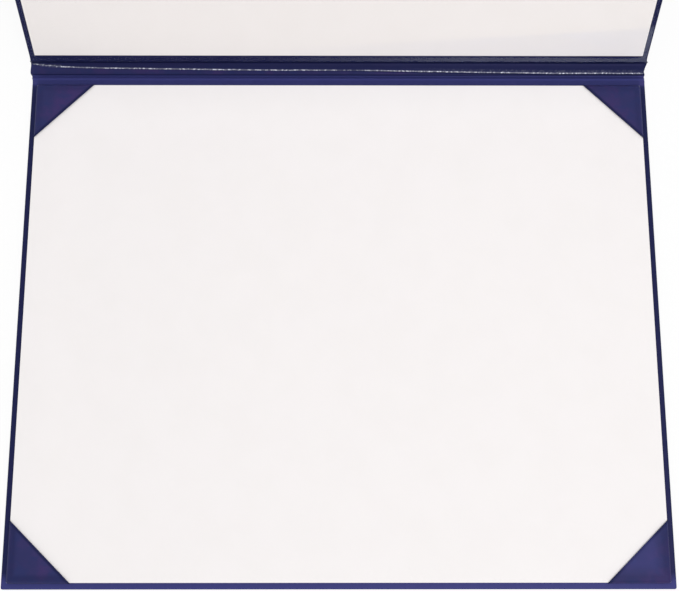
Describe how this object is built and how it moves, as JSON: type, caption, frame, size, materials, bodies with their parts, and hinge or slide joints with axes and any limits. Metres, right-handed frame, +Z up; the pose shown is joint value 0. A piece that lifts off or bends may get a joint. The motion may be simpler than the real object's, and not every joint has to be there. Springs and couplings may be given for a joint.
{
  "type": "diploma cover",
  "caption": "Landscape diploma cover: wrapped leatherette panels on a hinged spine, with white lining cards, corner pockets for a sheet and a clear film inside the front.",
  "frame": {"origin": "middle of the back panel's underside, on the surface that it lies on", "axes": "+X along the hinge, +Y from the back panel's free edge towards the hinge, +Z up"},
  "size_m": [0.285, 0.3528, 0.206],
  "materials": {
    "leatherette": "satin",
    "pocket_leatherette": "satin",
    "greyboard": "matte",
    "lining": "matte",
    "clear_film": "gloss"
  },
  "bodies": {
    "back_panel": {"back_cover": "leatherette", "back_board": "greyboard", "back_hinge_strip": "leatherette", "back_lining_card": "lining", "pocket_free_left": "pocket_leatherette", "pocket_free_right": "pocket_leatherette", "pocket_hinge_left": "pocket_leatherette", "pocket_hinge_right": "pocket_leatherette"},
    "spine": {"spine_cover": "leatherette", "spine_hinge_strip": "leatherette"},
    "front_panel": {"front_cover": "leatherette", "front_board": "greyboard", "front_hinge_strip": "leatherette", "front_lining_card": "lining", "front_film": "clear_film"}
  },
  "joints": [
    {"name": "lower_hinge", "type": "hinge", "parent": "back_panel", "child": "spine", "pos_m": [0, 0.11575, 0.00038], "axis": [1, 0, 0], "range_deg": [-36, 54]},
    {"name": "upper_hinge", "type": "hinge", "parent": "spine", "child": "front_panel", "pos_m": [0, 0.12238, 0.00519], "axis": [1, 0, 0], "range_deg": [-24, 66]}
  ]
}
